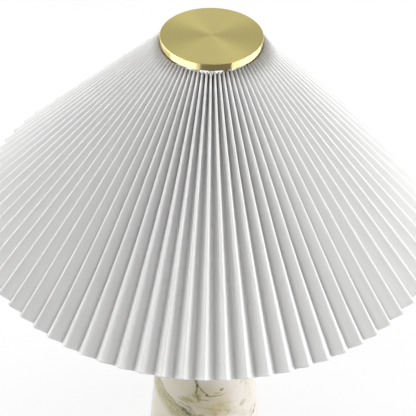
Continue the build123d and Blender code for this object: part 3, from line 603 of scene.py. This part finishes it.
# Along the cloth: down the outside, round the hem and up the inside. The last row meets the first.
hem_turn = held((row - float(skin_rows)) / float(hem_rows)) * math.pi
closing = row.maths("GREATER_THAN", row_count - 1.5)
side = hem_turn.maths("COSINE") * (1.0 - closing) + closing
run = size["Rim Radius"] - size["Top Radius"]
drop = size["Top Height"] - size["Rim Height"]
ridge_length = (run * run + drop * drop) ** 0.5
hem_half = size["Hem"] / 2.0
hem_share = size["Hem Length"] / ridge_length
from_top = row.maths("MINIMUM", row_count - 1.0 - row)
way = held(from_top / float(body_rows)) * (1.0 - hem_share)
way = way + held((from_top - float(body_rows)) / float(edge_rows)) * hem_share
down = way * (ridge_length - hem_half) + hem_half * hem_turn.maths("SINE")
hem_ramp = 0.25  # share of the hem over which the cloth thickens
hem_fade = held((size["Hem Length"] - ridge_length + down) / (size["Hem Length"] * hem_ramp))
half_wall = (size["Wall"] + (size["Hem"] - size["Wall"]) * hem_fade) / 2.0 * side

# Across one pleat: 0 on the ridge and 1 in the valley on either side.
turn = column / float(pleat_points)
pleat = turn.maths("FLOOR")
fold = (turn - pleat - 0.5) * 2.0
hand = fold.maths("SIGN")
across = abs(fold)
ridge_part = 0.375  # share of the mesh's columns on the ridge's bend
valley_part = 0.25  # and on the valley's
arc_share = held((across / ridge_part).maths("MINIMUM", (1.0 - across) / valley_part))
flat_share = held((across - ridge_part) / (1.0 - ridge_part - valley_part))

radius = size["Top Radius"] + run * down / ridge_length
half_step = math.pi / size["Pleats"]
half_pleat = radius * half_step
depth = (size["Face Width"] * size["Face Width"] - half_pleat * half_pleat) ** 0.5
ridge_radius = half_pleat * size["Ridge Share"] + size["Ridge Least"]
valley_radius = size["Valley Radius"] + hem_half * hem_fade
rise = depth - ridge_radius - valley_radius
centres = (half_pleat * half_pleat + rise * rise) ** 0.5
lean = rise.maths("ARCTAN2", half_pleat) + ((ridge_radius + valley_radius) / centres).maths("ARCSINE")
angle = lean * arc_share
sine = angle.maths("SINE")
cosine = angle.maths("COSINE")

# Each fold line strays a little, and the faces between follow.
ridge_turn = (2.0 * pleat + 1.0) * half_step
valley_turn = ridge_turn + hand * half_step


def stray(turned, seed):
    """A slow random number from about -1 to 1 for one fold line, along its length."""
    ring = 14.0  # large enough that neighbours stray by themselves
    bends = 0.9  # more of it bends a fold line more often
    spot = turned.node("ShaderNodeCombineXYZ", inputs={
        0: turned.maths("COSINE") * ring, 1: turned.maths("SINE") * ring, 2: way * bends})
    values = {"Vector": spot, "Scale": 1.0, "Detail": 1.0, "W": size["Seed"] + seed}
    return spot.node("ShaderNodeTexNoise", {"noise_dimensions": "4D"}, values) * 4.0 - 2.0


ridge_seed = 0.3
depth_seed = 5.3
valley_seed = 11.3
play = size["Sideways Play"] * half_pleat
sunk = abs(stray(ridge_turn, depth_seed)) * size["Depth Play"] * way
ridge_side = ridge_radius * sine * hand + stray(ridge_turn, ridge_seed) * play
ridge_deep = ridge_radius * (1.0 - cosine) + sunk
valley_side = (half_pleat - valley_radius * sine) * hand + stray(valley_turn, valley_seed) * play
valley_deep = depth - valley_radius * (1.0 - cosine)
sideways = ridge_side * (1.0 - flat_share) + valley_side * flat_share
inwards = ridge_deep * (1.0 - flat_share) + valley_deep * flat_share + size["Wall"] / 2.0
sideways = sideways + sine * hand * half_wall
inwards = inwards - cosine * half_wall

lower = size["Valley Length"] * across * way
slope_sine = drop / ridge_length
slope_cosine = run / ridge_length
azimuth = ridge_turn + sideways / radius + math.pi / 2
reach = radius - inwards * slope_sine + lower * slope_cosine
height = size["Top Height"] - (down + lower) * slope_sine - inwards * slope_cosine
fold_spot = bench.node("ShaderNodeCombineXYZ", inputs={
    0: reach * azimuth.maths("COSINE"), 1: reach * azimuth.maths("SINE"), 2: height})

# The cloth's own coordinates in metres: across the strip and down it.
ridge_way = ridge_radius * lean / size["Face Width"]  # share of a face's width that its ridge bend takes
valley_way = valley_radius * lean / size["Face Width"]
face_way = (held(across / ridge_part) * ridge_way + flat_share * (1.0 - ridge_way - valley_way)
            + (1.0 - held((1.0 - across) / valley_part)) * valley_way)
strip_across = (2.0 * pleat + 1.0 + hand * face_way) * size["Face Width"]
strip_spot = bench.node("ShaderNodeCombineXYZ", inputs={0: strip_across, 1: down, 2: 0.0})
marked = bench.node("GeometryNodeStoreNamedAttribute", {"data_type": "FLOAT2", "domain": "CORNER"},
                    {"Geometry": grid, "Name": "strip", "Value": strip_spot})
shaped = bench.node("GeometryNodeSetPosition", inputs={"Geometry": marked, "Position": fold_spot})
closed = bench.node("GeometryNodeMergeByDistance", inputs={"Geometry": shaped, "Distance": weld})
smooth = bench.node("GeometryNodeSetShadeSmooth", inputs={0: closed})
real = bench.node("GeometryNodeRealizeInstances", inputs={0: smooth})
covered = bench.node("GeometryNodeSetMaterial", inputs={"Geometry": real, "Material": size["Material"]})
bench.node("NodeGroupOutput", inputs={0: covered})

cloth, cloth_spot = finish("stiffened_cloth")
strip = cloth_spot.node("ShaderNodeUVMap", {"uv_map": "strip"})
slubs = strip.stretch(900.0, 14.0, 1.0).noise(1.0, 3.0, 0.6)
folds_worn = strip.stretch(60.0, 9.0, 1.0).noise(1.0, 2.0)
weave_pitch = 0.00055
thread = math.tau / weave_pitch
strip_x, strip_y, _ = strip.axes()
warp = (strip_x * thread).maths("SINE")
weft = (strip_y * thread).maths("SINE")
weave = warp * weft * 0.5 + 0.5
cloth_tone = (slubs * 0.75 + folds_worn * 0.25).mix((0.73, 0.727, 0.722, 1.0), (0.82, 0.817, 0.812, 1.0))
# Painted shade: the cloth's colour is greyed along each valley and up the faces beside it, where the deep
# fold lies in shade.
valley_shade_reach = 0.0050  # how far the painted valley shade runs up each face
valley_painted_shade = strip_x.maths("PINGPONG", skin_sizes["Face Width"]).step(valley_shade_reach, 0.0)
cloth_tone = (valley_painted_shade * 0.55).mix(cloth_tone, (0.50, 0.497, 0.492, 1.0))
thread_height = 0.00009
cloth_bump = cloth_spot.node("ShaderNodeBump", inputs={
    "Strength": 1.0, "Distance": thread_height, "Height": slubs * 0.7 + weave * 0.3})
woven = cloth_spot.node("ShaderNodeBsdfPrincipled", inputs={
    "Base Color": cloth_tone, "Roughness": weave * 0.1 + 0.85, "Sheen Weight": 0.08, "Normal": cloth_bump})
shining_through = cloth_spot.node("ShaderNodeBsdfTranslucent", inputs={"Color": (0.86, 0.85, 0.83, 1.0)})
light_share = 0.05  # how much of the light goes through the cloth
cloth_shader = cloth_spot.node("ShaderNodeMixShader", inputs={0: light_share, 1: woven, 2: shining_through})
cloth_spot.node("ShaderNodeOutputMaterial", inputs={"Surface": cloth_shader})


def grown(name, tree, inputs):
    """Make the plain mesh that a geometry tree gives for these inputs."""
    holder = bpy.data.objects.new(name + "_holder", bpy.data.meshes.new(name + "_holder"))
    bpy.context.scene.collection.objects.link(holder)
    modifier = holder.modifiers.new(name, "NODES")
    modifier.node_group = tree
    for item in tree.interface.items_tree:
        if item.in_out == "INPUT" and item.name in inputs:
            modifier[item.identifier] = inputs[item.name]
    evaluated = holder.evaluated_get(bpy.context.evaluated_depsgraph_get())
    mesh = bpy.data.meshes.new_from_object(evaluated)
    mesh.name = name
    holder.modifiers.remove(modifier)
    bpy.data.objects.remove(holder)
    return mesh


skin_inputs = {**skin_sizes, "Pleats": pleat_count, "Seed": pleat_seed, "Material": cloth}
skin_mesh = grown("pleated_skin", skin_tree, skin_inputs)
pleated_skin = piece("pleated_skin", skin_mesh, cloth, "shade", "pleated_cloth", "shade_skin")

# Plate washer. Soft white nylon between the plate's boss and the shade's hub, so that the plate doesn't turn
# the shade as it is screwed down.
dress(moulded("nylon", (0.82, 0.82, 0.80), 0.5), "plate_washer")

# Top plate and its boss. A brass disc, brushed in circles on the lathe and polished round its edge, with a
# threaded brass boss soldered under it.
dress(turned_brass, "plate_boss")
plate_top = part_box("top_plate")[1].z
corner_start = 0.0005  # below the top face: the brushing gives way to the polish between these two
corner_end = 0.0002
plate_brass, plate_spot = finish("brushed_brass")
plate_x, plate_y, plate_z = plate_spot.axes()
plate_radius = (plate_x * plate_x + plate_y * plate_y) ** 0.5
on_top = plate_z.step(plate_top - corner_start, plate_top - corner_end)
ring_spot = plate_spot.node("ShaderNodeCombineXYZ", inputs={0: plate_radius, 1: 0.0, 2: 0.0})
rings = ring_spot.noise(2600.0, 4.0, 0.7)
ring_bands = ring_spot.noise(240.0, 3.0, 0.6)
plate_haze = plate_spot.noise(26.0, 3.0, 0.55)
dark_brass = (0.52, 0.445, 0.16, 1.0)
pale_brass = (0.64, 0.56, 0.225, 1.0)
edge_brass = (0.74, 0.60, 0.27, 1.0)
plate_tone = (rings * 0.5 + ring_bands * 0.3 + plate_haze * 0.2).mix(dark_brass, pale_brass)
plate_colour = on_top.mix(edge_brass, plate_tone)
plate_rough = on_top * (rings * 0.1 + plate_haze * 0.04 + 0.18) + 0.11
seal(plate_brass, plate_spot, rings * on_top, depth=0.00003, colour=plate_colour, roughness=plate_rough,
     metal=1.0, anisotropy=0.7)
dress(plate_brass, "top_plate")
